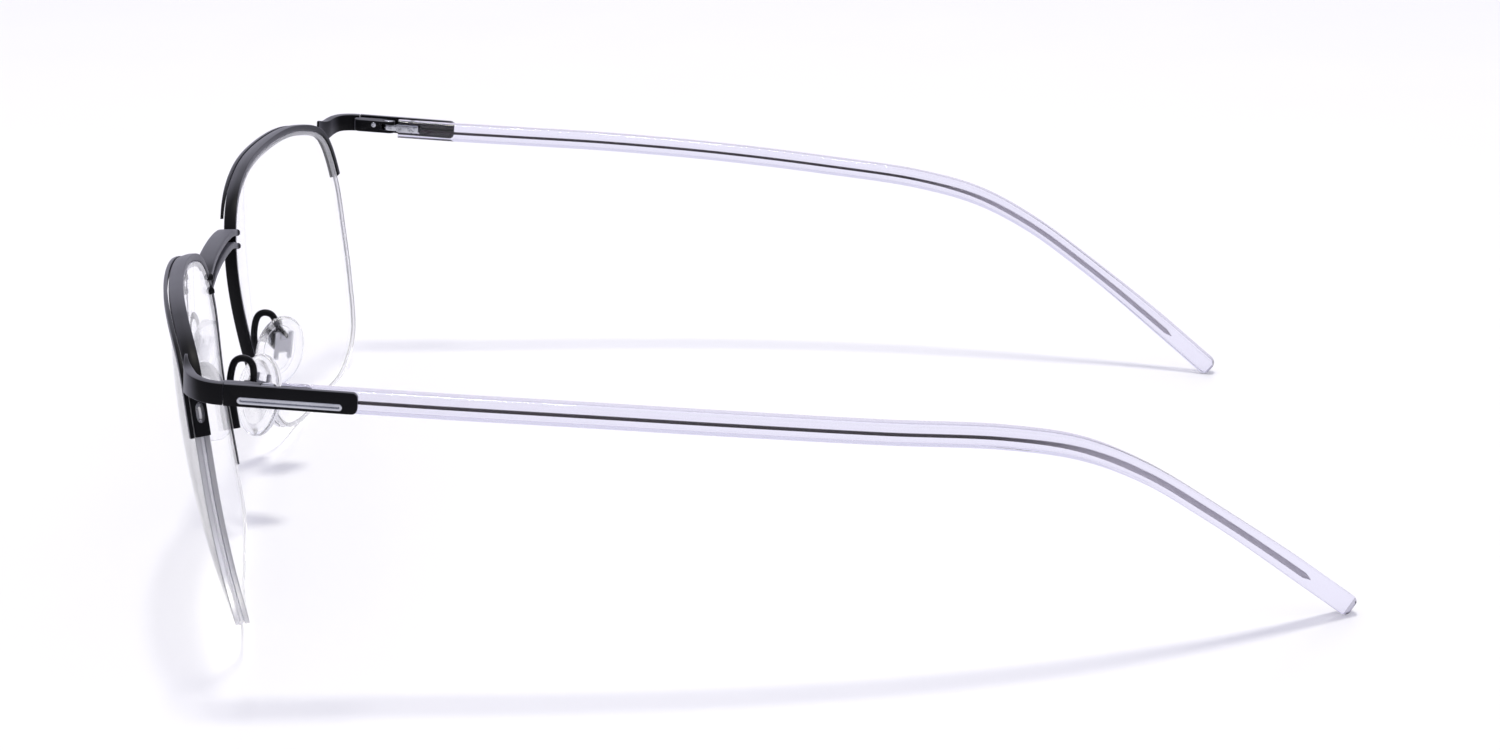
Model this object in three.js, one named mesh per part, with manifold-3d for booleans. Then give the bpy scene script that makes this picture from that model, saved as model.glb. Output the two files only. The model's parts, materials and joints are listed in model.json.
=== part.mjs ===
// Half rim eyeglasses: metal brow rims, nylon cords under the lenses, screw-on nose pads,
// and clear temples with a wire core, folding on clevis hinges. Millimetres, +Z up.
// The front faces -Y and the wearer's left is +X. The glasses stand open on a table at z = 0.

import * as THREE from 'three';
import { mergeVertices } from 'three/addons/utils/BufferGeometryUtils.js';
import Module from 'manifold-3d';

const wasm = await Module();
wasm.setup();
const { degToRad } = THREE.MathUtils;

// ---- driving dimensions ----
const LENS_CENTRE = [41.7, -8.2, 20.2]; // apex of the left lens, before it is set on the table
const LENS_WRAP = degToRad(11);         // each lens turns back towards its temple
const LENS_TILT = degToRad(7.3);        // the lens tops lean forward
const LENS_RADIUS = 121;                // base curve of both lens surfaces
const LENS_THICKNESS = 1.8;
const LENS_STATIONS = 72;
// Lens outline about the apex, from the outer edge over the brow: across, up.
const LENS_OUTLINE = [
  [22.3, 1], [21.9, 10], [18.2, 17.4], [9, 20.7], [-4.5, 21.5], [-18, 20.4], [-27.3, 16.9],
  [-31.2, 10], [-29.6, -1], [-26.6, -10.8], [-22, -17.5], [-13, -20.3], [-1, -20.5], [10, -19.7],
  [17.6, -15.3], [21, -7.5],
];
const GROOVE_DEPTH = 0.5;               // groove round the lens edge
const GROOVE_WIDTH = 0.64;
const RIM_THICKNESS = 1;                // outward from the lens edge
const RIM_DEPTH = 1.85;                 // front to back
const RIM_OUTER_Z = 30.7;               // height of the rim's end below the hinge
const RIM_NOSE_Z = 9.4;                 // height of the rim's end beside the nose
const TRIM_DEPTH = 0.5;
const TRIM_GAP = 0.14;                  // dark line between the rim and its front trim
const TRIM_NOSE_Z = 36.8;               // where the trim ends near the bridge
const EYELET_LENGTH = 2.4;              // slots that hold the ends of the nylon cord
const EYELET_WIDTH = 1;
const CORD_RADIUS = 0.17;
const FIT = 0.08;                       // clearance between pieces that touch on the real object

const HINGE = [68.2, 6, 37.84];           // centre of the left hinge pin
const DROOP = degToRad(5);              // temples slope down towards the ears
const BLOCK_HALF = 1;                   // half the thickness of the clevis block
const BLOCK_HEIGHT = 1.9;
const PLATE_THICKNESS = 0.7;
const PLATE_HEIGHT = 2.62;
const PLATE_FRONT = -4.85;              // along the temple from the pin
const PLATE_REAR = 10.65;
const TEMPLE_THICKNESS = 2;
const TEMPLE_HEIGHT = 2.82;             // at the front; the bend is slimmer
const TEMPLE_FRONT = 1.6;
const PIN_RADIUS = 0.45;
const TONGUE_HEIGHT = 0.9;
const TONGUE_END = 5.05;
const TONGUE_SCREW_Y = 3.75;

const PAD_CENTRE = [9.9, -4.7, 17.9];
const PAD_LENGTH = 11.6;
const PAD_WIDTH = 7.4;
const PAD_BACK = -0.9;                  // flat back of the pad, from its centre
const PAD_CROWN = 1.2;                  // skin side at its fullest
const ARM_RADIUS = 0.5;

// ---- materials ----
const finish = (color, roughness, metalness, opacity = 1) =>
  new THREE.MeshStandardMaterial({ color, roughness, metalness, opacity, transparent: opacity < 1 });
const blackMetal = () => finish(0x17171a, 0.45, 0.8);
const silver = () => finish(0xc4c9cc, 0.25, 1);
const clearPlastic = () => finish(0xe6e4ee, 0.08, 0, 0.4);
const silicone = () => finish(0xf0eff4, 0.3, 0, 0.5);
const lensGlass = () => finish(0xeef0f8, 0.03, 0, 0.2);
const nylon = () => finish(0xf2f2f4, 0.3, 0, 0.6);

// ---- solids ----
const V3 = (x, y, z) => new THREE.Vector3(x, y, z);

function solid(geometry) {
  const bare = geometry.clone();
  bare.deleteAttribute('normal');
  bare.deleteAttribute('uv');
  const merged = mergeVertices(bare, 1e-5);
  return new wasm.Manifold(new wasm.Mesh({
    numProp: 3,
    vertProperties: new Float32Array(merged.attributes.position.array),
    triVerts: new Uint32Array(merged.index.array),
  }));
}

function geometryOf(manifold) {
  const mesh = manifold.getMesh();
  const geometry = new THREE.BufferGeometry();
  geometry.setAttribute('position', new THREE.BufferAttribute(mesh.vertProperties, 3));
  geometry.setIndex(new THREE.BufferAttribute(mesh.triVerts, 1));
  return geometry;
}

const cut = (body, ...tools) =>
  geometryOf(tools.reduce((left, tool) => left.subtract(solid(tool)), solid(body)));

const join = (...bodies) =>
  geometryOf(bodies.map(solid).reduce((all, body) => all.add(body)));

// A closed solid through rings of points, with a flat cap on each end.
function loft(rings) {
  const count = rings[0].length;
  const positions = rings.flat().flatMap((p) => [p.x, p.y, p.z]);
  const faces = [];
  for (let ring = 0; ring + 1 < rings.length; ring++) {
    for (let i = 0; i < count; i++) {
      const [a, b] = [ring * count + i, ring * count + (i + 1) % count];
      faces.push(a, b, b + count, a, b + count, a + count);
    }
  }
  for (const [ring, end] of [[rings[0], 0], [rings.at(-1), rings.length - 1]]) {
    for (const face of THREE.ShapeUtils.triangulateShape(flatten(ring), [])) {
      const [a, b, c] = face.map((i) => end * count + i);
      faces.push(...(end ? [a, b, c] : [c, b, a]));
    }
  }
  const geometry = new THREE.BufferGeometry();
  geometry.setAttribute('position', new THREE.Float32BufferAttribute(positions, 3));
  geometry.setIndex(faces);
  return faceOutwards(geometry);
}

// A ring's points in its own plane, for its cap.
function flatten(ring) {
  const middle = ring.reduce((sum, p) => sum.add(p), V3(0, 0, 0)).divideScalar(ring.length);
  const normal = V3(0, 0, 0);
  ring.forEach((p, i) => {
    const next = ring[(i + 1) % ring.length];
    normal.add(p.clone().sub(middle).cross(next.clone().sub(middle)));
  });
  normal.normalize();
  const across = ring[1].clone().sub(ring[0]).normalize();
  const up = normal.clone().cross(across);
  return ring.map((p) => new THREE.Vector2(p.clone().sub(middle).dot(across), p.clone().sub(middle).dot(up)));
}

function faceOutwards(geometry) {
  const { position } = geometry.attributes;
  const index = geometry.index.array;
  const corner = (i) => V3().fromBufferAttribute(position, index[i]);
  let volume = 0;
  for (let i = 0; i < index.length; i += 3) volume += corner(i).dot(corner(i + 1).cross(corner(i + 2)));
  if (volume < 0) {
    for (let i = 0; i < index.length; i += 3) [index[i], index[i + 1]] = [index[i + 1], index[i]];
  }
  return geometry;
}

function box(x0, x1, y0, y1, z0, z1) {
  const geometry = new THREE.BoxGeometry(x1 - x0, y1 - y0, z1 - z0);
  return geometry.translate((x0 + x1) / 2, (y0 + y1) / 2, (z0 + z1) / 2);
}

// A turned piece about an axis, its profile given as [radius, distance] pairs.
function turned(profile, axis, at, segments = 20) {
  const points = profile.map(([radius, distance]) => new THREE.Vector2(radius, distance));
  const geometry = new THREE.LatheGeometry(points, segments);
  const turn = new THREE.Quaternion().setFromUnitVectors(V3(0, 1, 0), axis.clone().normalize());
  return geometry.applyQuaternion(turn).translate(at.x, at.y, at.z);
}

const rod = (radius, from, to, axis, at, segments = 20) =>
  turned([[0, from], [radius, from], [radius, to], [0, to]], axis, at, segments);

// A flat shape with softened edges, between two heights.
function plate(shape, low, high, bevel = 0.12, curveSegments = 6) {
  return new THREE.ExtrudeGeometry(shape, {
    depth: high - low - 2 * bevel, bevelThickness: bevel, bevelSize: bevel, bevelOffset: -bevel,
    bevelSegments: 1, curveSegments,
  }).translate(0, 0, low + bevel);
}

// Points of a rounded rectangle, corner by corner.
function roundedRectangle(width, height, radius, perCorner = 3) {
  const points = [];
  for (let corner = 0; corner < 4; corner++) {
    const sx = corner === 0 || corner === 3 ? 1 : -1;
    const sy = corner < 2 ? 1 : -1;
    for (let i = 0; i < perCorner; i++) {
      const angle = (corner + i / (perCorner - 1)) * Math.PI / 2;
      points.push([
        sx * (width / 2 - radius) + radius * Math.cos(angle),
        sy * (height / 2 - radius) + radius * Math.sin(angle),
      ]);
    }
  }
  return points;
}

// ---- the lens frame ----
// Across (towards the temple), up and front are the left lens's own axes.
const level = V3(Math.sin(LENS_WRAP), -Math.cos(LENS_WRAP), 0);
const lensAcross = V3(Math.cos(LENS_WRAP), Math.sin(LENS_WRAP), 0);
const lensFront = level.clone().multiplyScalar(Math.cos(LENS_TILT)).add(V3(0, 0, -Math.sin(LENS_TILT)));
const lensUp = level.clone().multiplyScalar(Math.sin(LENS_TILT)).add(V3(0, 0, Math.cos(LENS_TILT)));
const lensCentre = V3(...LENS_CENTRE);

function onLens(u, v, front) {
  const sag = LENS_RADIUS - Math.sqrt(LENS_RADIUS ** 2 - u * u - v * v);
  return lensCentre.clone()
    .addScaledVector(lensAcross, u)
    .addScaledVector(lensUp, v)
    .addScaledVector(lensFront, front - sag);
}

const outlineCurve = new THREE.CatmullRomCurve3(
  LENS_OUTLINE.map(([u, v]) => V3(u, v, 0)), true, 'centripetal');
// Each station holds the lens edge point and its outward direction.
const stations = Array.from({ length: LENS_STATIONS }, (_, i) => {
  const point = outlineCurve.getPointAt(i / LENS_STATIONS);
  const along = outlineCurve.getTangentAt(i / LENS_STATIONS);
  return { u: point.x, v: point.y, outU: along.y, outV: -along.x };
});

const atEdge = (station, out, front) =>
  onLens(station.u + station.outU * out, station.v + station.outV * out, front);

// The lens's lowest edge rests on the table.
const lowest = Math.min(...stations.flatMap((s) =>
  [-1, 1].map((side) => atEdge(s, 0, side * LENS_THICKNESS / 2).z)));
lensCentre.z -= lowest;

// ---- lens ----
function lensGeometry() {
  const half = LENS_THICKNESS / 2;
  const groove = GROOVE_WIDTH / 2;
  const edge = [[0, groove], [-GROOVE_DEPTH, groove], [-GROOVE_DEPTH, -groove], [0, -groove]];
  const inner = [0.4, 0.75];
  const face = (fraction, front) => stations.map((s) => onLens(s.u * fraction, s.v * fraction, front));
  const rings = [
    ...inner.map((fraction) => face(fraction, half)),
    stations.map((s) => atEdge(s, 0, half)),
    ...edge.map(([out, front]) => stations.map((s) => atEdge(s, out, front))),
    stations.map((s) => atEdge(s, 0, -half)),
    ...inner.toReversed().map((fraction) => face(fraction, -half)),
  ];
  return loft(rings);
}

// ---- pieces that follow the lens edge ----
// Where the lens edge first rises above a height, counted in stations.
function rising(z, from, to) {
  const way = Math.sign(to - from);
  const heightAt = (i) => atEdge(stations[(i + LENS_STATIONS) % LENS_STATIONS], 0, 0).z;
  let i = from;
  while (heightAt(i) < z) i += way;
  return i - way * (heightAt(i) - z) / (heightAt(i) - heightAt(i - way));
}
const QUARTER = LENS_STATIONS / 4;
const rimStart = rising(RIM_OUTER_Z, -QUARTER, QUARTER);
const rimEnd = rising(RIM_NOSE_Z, 3 * QUARTER, QUARTER);
const trimEnd = rising(TRIM_NOSE_Z, 3 * QUARTER, QUARTER);

// Fractional stations let a piece end exactly at a given height.
function between(position) {
  const base = Math.floor(position);
  const [a, b] = [base, base + 1].map((i) => stations[(i + 2 * LENS_STATIONS) % LENS_STATIONS]);
  const mix = position - base;
  const blend = (key) => a[key] + (b[key] - a[key]) * mix;
  return { u: blend('u'), v: blend('v'), outU: blend('outU'), outV: blend('outV') };
}

// Rings lie on the lens's own stations, so that the facets of neighbours run parallel.
function follow(from, to, section) {
  const rings = [section(from)];
  for (let i = Math.floor(from + 1.05); i < to - 0.05; i++) rings.push(section(i));
  rings.push(section(to));
  return loft(rings);
}

const sectionAt = (pairs) => (i) => pairs.map(([out, front]) => atEdge(between(i), out, front));

const half = RIM_DEPTH / 2;
const rimInside = [[0.45, -0.3], [0.45, 0.3]];
const rimSection = [
  [FIT, -half], [RIM_THICKNESS, -half + 0.15], [RIM_THICKNESS + 0.1, 0],
  [RIM_THICKNESS, half - 0.1], [RIM_THICKNESS - 0.1, half], [FIT, half],
  [FIT, rimInside[1][1]], rimInside[1], rimInside[0], [FIT, rimInside[0][1]],
];

// A slot through the rim for the end of the cord, round at both ends.
const STATION_LENGTH = outlineCurve.getLength() / LENS_STATIONS;
const eyeletSpan = EYELET_LENGTH / STATION_LENGTH;
const outerEyelet = rimStart + 0.7 + eyeletSpan / 2;
const noseEyelet = rimEnd - 0.7 - eyeletSpan / 2;
function eyelet(middle) {
  const rings = [];
  const steps = 8;
  for (let i = 0; i <= steps; i++) {
    const t = -1 + 2 * i / steps;
    const width = EYELET_WIDTH / 2 * Math.sqrt(Math.max(1 - Math.abs(t) ** 3, 0.03));
    rings.push(sectionAt([[-1, -width], [2, -width], [2, width], [-1, width]])(middle + t * eyeletSpan / 2));
  }
  return loft(rings);
}

const rimGeometry = () =>
  cut(follow(rimStart, rimEnd, sectionAt(rimSection)), eyelet(outerEyelet), eyelet(noseEyelet));

// The front trim narrows to a point where it ends beside the bridge.
function trimGeometry() {
  const back = half + TRIM_GAP;
  return follow(rimStart, trimEnd, (i) => {
    const left = Math.min((trimEnd - i) / 4, 1);
    const width = 0.12 + (RIM_THICKNESS - 0.1) * Math.sqrt(left);
    const middle = 0.55;
    return sectionAt([
      [middle - width / 2, back], [middle + width / 2, back],
      [middle + width / 2 - 0.05, back + TRIM_DEPTH], [middle - width / 2 + 0.05, back + TRIM_DEPTH],
    ])(i);
  });
}

const linerGeometry = () => follow(
  outerEyelet + eyeletSpan / 2 + 0.3, noseEyelet - eyeletSpan / 2 - 0.3,
  sectionAt([[-0.36, -0.2], [0.36, -0.2], [0.36, 0.2], [-0.36, 0.2]]));

// The cord runs in the lens groove below the rim; each end turns out and back through its eyelet.
function cordGeometry() {
  const deep = -0.21;
  const reach = eyeletSpan / 2;
  const end = (middle) => [[-0.6, deep], [-0.62, 0.2], [-0.3, 0.6], [0.3, 0.6], [0.62, 0.2], [0.6, deep]]
    .map(([along, out]) => [middle + along * reach, out]);
  const start = outerEyelet + LENS_STATIONS;
  const run = [];
  for (let i = noseEyelet + 1.4; i < start - 1.2; i += 1) run.push([i, deep]);
  const route = [...end(noseEyelet), ...run, ...end(start)];
  const curve = new THREE.CatmullRomCurve3(
    route.map(([i, out]) => atEdge(between(i), out, 0)), false, 'centripetal');
  return tube(curve, CORD_RADIUS, route.length + 12, 6);
}

// A round wire along a curve, square-cut at both ends.
function tube(curve, radius, steps, sides) {
  const section = new THREE.Shape();
  section.absarc(0, 0, radius, 0, 2 * Math.PI);
  return new THREE.ExtrudeGeometry(section, { extrudePath: curve, steps, curveSegments: sides / 2 });
}

// The space of the rim, its trim and the lens edge, which pieces soldered to the rim fit round.
function rimSpace() {
  const out = RIM_THICKNESS + 0.1 + FIT;
  const front = half + TRIM_GAP + TRIM_DEPTH + FIT;
  return follow(rimStart - 4, rimEnd, sectionAt([[-6, -half - FIT], [out, -half - FIT], [out, front], [-6, front]]));
}

// ---- bridge ----
// Each bar runs between the rims, flat on the inside of the arch.
function bridgeBar({ end, crown, depth, thickness }) {
  const [x, y, z] = end;
  const curve = new THREE.CatmullRomCurve3([
    V3(-x, y, z), V3(-x * 0.72, y - crown.y * 0.52, z + crown.z * 0.62), V3(-x * 0.36, y - crown.y * 0.9,
      z + crown.z * 0.93), V3(0, y - crown.y, z + crown.z),
    V3(x * 0.36, y - crown.y * 0.9, z + crown.z * 0.93), V3(x * 0.72, y - crown.y * 0.52, z + crown.z * 0.62),
    V3(x, y, z),
  ]);
  const steps = 16;
  const rings = Array.from({ length: steps + 1 }, (_, i) => {
    const point = curve.getPointAt(i / steps);
    const along = curve.getTangentAt(i / steps);
    const back = V3(0, 1, 0).addScaledVector(along, -along.y).normalize();
    const up = along.clone().cross(back).normalize();
    return roundedRectangle(depth, thickness, Math.min(depth, thickness) * 0.3, 2)
      .map(([a, b]) => point.clone().addScaledVector(back, a).addScaledVector(up, b));
  });
  const left = rimSpace();
  const right = faceOutwards(left.clone().scale(-1, 1, 1));
  return cut(loft(rings), left, right);
}

// ---- hinge and endpiece, in the hinge's own frame: y along the temple, z up the pin ----
function placeAtHinge(geometry) {
  return geometry.rotateX(-DROOP).translate(...HINGE);
}

const outerFace = BLOCK_HALF + 0.1 + PLATE_THICKNESS;

// The endpiece grows taller where it runs forward to the rim, mostly on its lower side.
function growTowardsRim(geometry) {
  const { position } = geometry.attributes;
  for (let i = 0; i < position.count; i++) {
    const forward = THREE.MathUtils.smoothstep(-position.getY(i), 4.5, 9);
    const drop = position.getZ(i) > 0 ? 0.35 : 0.75;
    position.setZ(i, position.getZ(i) - drop * forward);
  }
}

function endpieceGeometry() {
  const plan = new THREE.Shape();
  plan.moveTo(-6.6, -10.9);
  plan.bezierCurveTo(-2.4, -10.3, outerFace, -8.8, outerFace, PLATE_FRONT - FIT);
  plan.lineTo(BLOCK_HALF, PLATE_FRONT - FIT);
  plan.lineTo(BLOCK_HALF, 0);
  plan.absarc(0, 0, BLOCK_HALF, 0, Math.PI, false);
  plan.lineTo(-BLOCK_HALF, -4);
  plan.lineTo(0.6, -5.2);
  plan.bezierCurveTo(0.6, -7.9, -2.6, -9.2, -6.6, -9.7);
  plan.closePath();
  const block = plate(plan, -PLATE_HEIGHT / 2, PLATE_HEIGHT / 2);
  growTowardsRim(block);
  const slot = box(-3, 3, -BLOCK_HALF - 0.2, 3, -TONGUE_HEIGHT / 2 - FIT, TONGUE_HEIGHT / 2 + FIT);
  const up = V3(0, 0, 1);
  const bore = rod(PIN_RADIUS + 0.05, -4, 4, up, V3(0, 0, 0));
  const seat = rod(0.86, BLOCK_HEIGHT / 2 - 0.22, 4, up, V3(0, 0, 0));
  const above = box(-3, 3, PLATE_FRONT - FIT, 3, BLOCK_HEIGHT / 2, 4);
  const below = box(-3, 3, PLATE_FRONT - FIT, 3, -4, -BLOCK_HEIGHT / 2);
  const hinged = placeAtHinge(cut(block, slot, bore, seat, above, below));
  return cut(hinged, rimSpace());
}

const pinGeometry = () => {
  const top = BLOCK_HEIGHT / 2 + 0.06;
  const bottom = -BLOCK_HEIGHT / 2 - 0.14;
  const seat = top - 0.24;
  const pin = turned([
    [0, bottom], [PIN_RADIUS - 0.1, bottom], [PIN_RADIUS, bottom + 0.14], [PIN_RADIUS, seat],
    [0.78, seat], [0.78, top - 0.06], [0.7, top], [0, top],
  ], V3(0, 0, 1), V3(0, 0, 0));
  return placeAtHinge(cut(pin, box(-0.12, 0.12, -2, 2, top - 0.14, top + 1)));
};

function tongueGeometry() {
  const eye = 0.92;
  const plan = new THREE.Shape();
  plan.moveTo(-eye, TONGUE_END);
  plan.lineTo(-eye, 0);
  plan.absarc(0, 0, eye, Math.PI, 2 * Math.PI, false);
  plan.absarc(0, 0, eye, 0, Math.PI / 2, false);
  plan.lineTo(-0.12, eye + 0.2);
  plan.lineTo(-0.12, TONGUE_END);
  plan.closePath();
  const bar = plate(plan, -TONGUE_HEIGHT / 2, TONGUE_HEIGHT / 2, 0.06);
  const pinHole = rod(PIN_RADIUS + 0.05, -4, 4, V3(0, 0, 1), V3(0, 0, 0));
  const screwHole = rod(0.4, -4, 4, V3(1, 0, 0), V3(0, TONGUE_SCREW_Y, 0));
  return placeAtHinge(cut(bar, pinHole, screwHole));
}

function tongueScrewGeometry() {
  const face = -TEMPLE_THICKNESS / 2 + 0.04;
  const screw = turned([
    [0, face - 0.26], [0.36, face - 0.24], [0.56, face - 0.12], [0.58, face], [0.34, face],
    [0.34, TEMPLE_THICKNESS / 2], [0, TEMPLE_THICKNESS / 2],
  ], V3(1, 0, 0), V3(0, TONGUE_SCREW_Y, 0));
  return placeAtHinge(cut(screw, box(-2, face - 0.16, TONGUE_SCREW_Y - 2, TONGUE_SCREW_Y + 2, -0.09, 0.09)));
}

// ---- the black plate outside the temple and its inlay ----
const standUp = (geometry) => geometry.applyMatrix4(
  new THREE.Matrix4().makeBasis(V3(0, 1, 0), V3(0, 0, 1), V3(1, 0, 0)));

function stadium(from, to, height) {
  const radius = height / 2;
  const shape = new THREE.Shape();
  shape.absarc(to - radius, 0, radius, -Math.PI / 2, Math.PI / 2, false);
  shape.absarc(from + radius, 0, radius, Math.PI / 2, 3 * Math.PI / 2, false);
  shape.closePath();
  return shape;
}
const INLAY_FRONT = -3.3;
const INLAY_REAR = 8.9;
const INLAY_HEIGHT = 0.85;
const INLAY_DROP = -0.55;
const inlayFloor = outerFace - 0.35;

function sleeveGeometry() {
  const radius = 0.6;
  const low = -PLATE_HEIGHT / 2;
  const high = PLATE_HEIGHT / 2;
  const shape = new THREE.Shape();
  shape.moveTo(PLATE_FRONT, low);
  shape.lineTo(PLATE_REAR - radius, low);
  shape.absarc(PLATE_REAR - radius, low + radius, radius, -Math.PI / 2, 0, false);
  shape.absarc(PLATE_REAR - radius, high - radius, radius, 0, Math.PI / 2, false);
  shape.lineTo(PLATE_FRONT, high);
  shape.closePath();
  const body = standUp(plate(shape, BLOCK_HALF + 0.1, outerFace, 0.1));
  const pocket = standUp(new THREE.ExtrudeGeometry(
    stadium(INLAY_FRONT - FIT, INLAY_REAR + FIT, INLAY_HEIGHT + 2 * FIT),
    { depth: 2, bevelEnabled: false, curveSegments: 8 }).translate(0, INLAY_DROP, inlayFloor));
  return placeAtHinge(cut(body, pocket));
}

function inlayGeometry() {
  const body = standUp(plate(stadium(INLAY_FRONT, INLAY_REAR, INLAY_HEIGHT),
    inlayFloor + 0.04, outerFace + 0.04, 0.08).translate(0, INLAY_DROP, 0));
  const groove = box(outerFace - 0.12, outerFace + 1, INLAY_FRONT + 0.5, INLAY_REAR - 0.5,
    INLAY_DROP - 0.12, INLAY_DROP + 0.12);
  return placeAtHinge(cut(body, groove));
}

// ---- temple: a clear bar with a pointed wire core ----
// Distance outward, along and up from the pin.
const TEMPLE_PATH = [
  [0, TEMPLE_FRONT, -0.22], [0, 11, -0.16], [0.2, 22, -0.02], [0.25, 36, 0.17], [-0.5, 54.2, 0.1],
  [-2.5, 72.5, -0.29], [-5.3, 87.5, -0.79], [-7.6, 97.2, -2.29], [-9.9, 106, -5.74], [-12.2, 115, -10.94],
  [-14.9, 124, -16.7], [-19.2, 136.6, -25.3],
];
const templeCurve = new THREE.CatmullRomCurve3(TEMPLE_PATH.map((p) => V3(...p)), false, 'centripetal');
const templeLength = templeCurve.getLength();

function alongTemple(distance, points) {
  const t = THREE.MathUtils.clamp(distance / templeLength, 0, 1);
  const point = templeCurve.getPointAt(t);
  const along = templeCurve.getTangentAt(t);
  const out = along.clone().cross(V3(0, 0, 1)).normalize();
  const up = out.clone().cross(along).normalize();
  return points.map(([a, b]) => point.clone().addScaledVector(out, a).addScaledVector(up, b));
}

const steps = (from, to, size) => {
  const count = Math.max(1, Math.round((to - from) / size));
  return Array.from({ length: count + 1 }, (_, i) => from + (to - from) * i / count);
};

// The bar is slimmest in the bend behind the ear.
const templeHeight = (distance) => TEMPLE_HEIGHT
  - 0.4 * THREE.MathUtils.smoothstep(distance, 92, 110) + 0.4 * THREE.MathUtils.smoothstep(distance, 118, 134);

function templeGeometry() {
  const bend = 84;
  const round = 1;
  const straight = [...steps(0, bend, 6), ...steps(bend, templeLength - round, 3).slice(1)];
  const rings = straight.map((d) =>
    alongTemple(d, roundedRectangle(TEMPLE_THICKNESS, templeHeight(d), 0.5)));
  for (const angle of [18, 36, 54, 70, 82]) {
    const left = Math.cos(degToRad(angle));
    const distance = templeLength - round + round * Math.sin(degToRad(angle));
    rings.push(alongTemple(distance, roundedRectangle(
      TEMPLE_THICKNESS * (0.35 + 0.65 * left), templeHeight(distance) * (0.4 + 0.6 * left), 0.5 * left)));
  }
  const recess = box(-3, -0.04, -1, TONGUE_END + FIT, -TONGUE_HEIGHT / 2 - FIT, TONGUE_HEIGHT / 2 + FIT);
  const screwHole = rod(0.4, -4, 4, V3(1, 0, 0), V3(0, TONGUE_SCREW_Y, 0));
  const channel = coreSweep(FIT, TONGUE_END - 0.6 - TEMPLE_FRONT);
  return placeAtHinge(cut(loft(rings), recess, screwHole, channel));
}

const CORE_START = TONGUE_END + 0.3 - TEMPLE_FRONT;
const CORE_END = 135.4;                 // along the temple from its front end
const CORE_WIDTH = 0.5;
const CORE_HEIGHT = 0.66;
const CORE_DROP = 0.2;                  // below the middle of the bar
const POINT = 1.2;                      // tapered end of the core

// The core, or with a margin the channel that holds it.
function coreSweep(margin, start) {
  const section = (height) => roundedRectangle(CORE_WIDTH + 2 * margin, height + 2 * margin, 0.16, 2)
    .map(([a, b]) => [a, b - CORE_DROP]);
  const rings = [...steps(start, 82, 6), ...steps(82, CORE_END - POINT, 3).slice(1)]
    .map((d) => alongTemple(d, section(CORE_HEIGHT)));
  rings.push(alongTemple(CORE_END + margin, section(0.34)));
  return loft(rings);
}

// ---- nose pads ----
// Across, up and skin are the left pad's own axes.
const padUp = V3(-0.2, 0.165, 0.966).normalize();
const skin = V3(-0.86, 0.5, 0);
skin.addScaledVector(padUp, -skin.dot(padUp)).normalize();
const padAcross = padUp.clone().cross(skin).normalize();
const placePad = (geometry) => geometry
  .applyMatrix4(new THREE.Matrix4().makeBasis(padAcross, padUp, skin))
  .translate(...PAD_CENTRE);
// The insert, box and screw are centred on the stem.
const placeStem = (geometry) => placePad(geometry.translate(...STEM_AT, 0));

const STEM_AT = [-0.4, 1];              // across and up from the pad's centre
const INSERT_BACK = -0.55;
const STEM_END = -2.7;
const SCREW_AT = -2.2;                  // the pad rocks about this screw

function padGeometry() {
  const profile = [[0, PAD_BACK], [0.86, PAD_BACK], [0.97, PAD_BACK + 0.35], [1, PAD_BACK + 0.8],
    [0.93, PAD_BACK + 1.3], [0.72, PAD_CROWN - 0.3], [0.38, PAD_CROWN - 0.06], [0, PAD_CROWN]];
  const body = new THREE.LatheGeometry(profile.map(([r, h]) => new THREE.Vector2(r, h)), 32)
    .rotateX(Math.PI / 2).scale(PAD_WIDTH / 2, PAD_LENGTH / 2, 1);
  const plateSpace = box(-1.3 - FIT, 1.3 + FIT, -2.2 - FIT, 2.2 + FIT, INSERT_BACK - FIT, INSERT_BACK + 0.5 + FIT);
  const neckSpace = box(-0.55 - FIT, 0.55 + FIT, -0.9 - FIT, 0.9 + FIT, -3, INSERT_BACK);
  return placePad(cut(body, plateSpace.translate(...STEM_AT, 0), neckSpace.translate(...STEM_AT, 0)));
}

function insertGeometry() {
  const base = box(-1.3, 1.3, -2.2, 2.2, INSERT_BACK, INSERT_BACK + 0.5);
  const stem = box(-0.55, 0.55, -0.9, 0.9, STEM_END, INSERT_BACK + 0.1);
  const hole = rod(0.35, -3, 3, V3(1, 0, 0), V3(0, 0, SCREW_AT));
  return placeStem(cut(join(base, stem), hole));
}

const CHEEK = 0.45;
function padBoxGeometry() {
  const inside = 0.55 + FIT;
  const outside = inside + CHEEK;
  const shell = plate(new THREE.Shape([[-outside, -1.1], [outside, -1.1], [outside, 1.1], [-outside, 1.1]]
    .map((p) => new THREE.Vector2(...p))), STEM_END - 0.6, -1.5, 0.1);
  const space = box(-inside, inside, -3, 3, STEM_END - 0.15, 3);
  const hole = rod(0.35, -3, 3, V3(1, 0, 0), V3(0, 0, SCREW_AT));
  return placeStem(cut(shell, space, hole));
}

function padScrewGeometry() {
  const side = 0.55 + FIT + CHEEK;
  const screw = turned([
    [0, -side], [0.28, -side], [0.28, side + 0.04], [0.52, side + 0.04], [0.5, side + 0.22], [0, side + 0.26],
  ], V3(1, 0, 0), V3(0, 0, SCREW_AT), 16);
  return placeStem(screw);
}

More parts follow.
